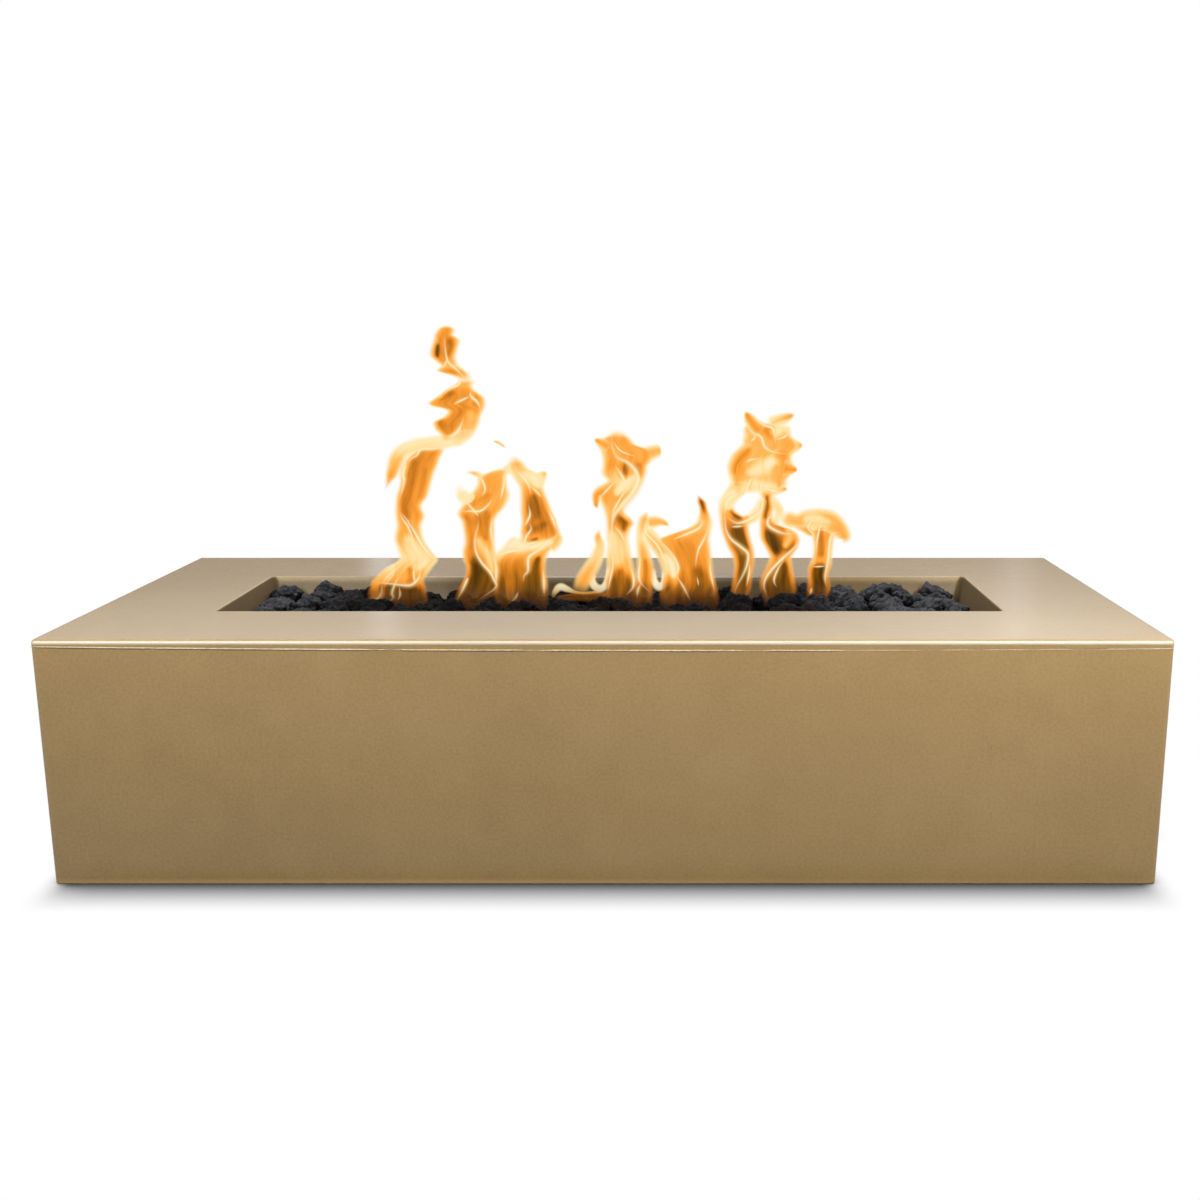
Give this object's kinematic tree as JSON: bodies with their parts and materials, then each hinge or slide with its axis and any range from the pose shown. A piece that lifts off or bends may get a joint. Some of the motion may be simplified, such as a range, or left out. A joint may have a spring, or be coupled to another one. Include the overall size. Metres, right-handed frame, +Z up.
{
  "type": "gas fire pit",
  "caption": "Long, low rectangular gas fire pit: a cast concrete shell with a sloped opening over a burner pan of lava stones, lit, with a removable valve key in one end.",
  "frame": {"origin": "middle of the shell's footprint, on the ground that its foot rim stands on", "axes": "+X along the length to the right seen from the front, +Y to the back, +Z up"},
  "size_m": [1.8626, 0.762, 0.8784],
  "materials": {
    "cast_concrete": "satin",
    "lava_rock": "matte",
    "stainless_steel": "satin",
    "zinc_hardware": "satin",
    "black_pipe": "satin",
    "brass": "satin",
    "corrugated_steel": "satin",
    "seat_plastic": "satin",
    "chrome": "polished",
    "flame": "matte"
  },
  "bodies": {
    "pit": {"body_shell": "cast_concrete", "burner_cap_left": "stainless_steel", "burner_cap_right": "stainless_steel", "burner_elbow": "brass", "burner_hub": "stainless_steel", "burner_saddle_left": "stainless_steel", "burner_saddle_right": "stainless_steel", "burner_tube_left": "stainless_steel", "burner_tube_right": "stainless_steel", "escutcheon": "chrome", "fire_pan": "stainless_steel", "flames": "flame", "gas_hose": "corrugated_steel", "hose_nut_burner": "brass", "hose_nut_valve": "brass", "lava_bed": "lava_rock", "lava_stones_back": "lava_rock", "lava_stones_front": "lava_rock", "pan_locknut_bottom": "zinc_hardware", "pan_locknut_top": "zinc_hardware", "pan_nipple": "black_pipe", "saddle_nuts": "zinc_hardware", "saddle_screws": "zinc_hardware", "sleeve_locknut": "zinc_hardware", "valve_body": "brass", "valve_bonnet": "brass", "valve_elbow": "brass", "valve_inlet": "brass", "valve_nipple": "black_pipe", "valve_seats": "seat_plastic", "valve_sleeve": "zinc_hardware", "vent_left": "stainless_steel", "vent_right": "stainless_steel", "vent_screws": "stainless_steel"},
    "valve_stem": {"valve_stem": "brass", "valve_ball": "chrome"},
    "gas_key": {"gas_key": "chrome"}
  },
  "joints": [
    {"name": "valve_turn", "type": "hinge", "parent": "pit", "child": "valve_stem", "pos_m": [0.805, 0.23, 0.1584], "axis": [1, 0, 0], "range_deg": [0, 90], "deforming": ["flames"]},
    {"name": "key_pull", "type": "slide", "parent": "valve_stem", "child": "gas_key", "axis": [1, 0, 0], "range_m": [0, 0.12]}
  ]
}
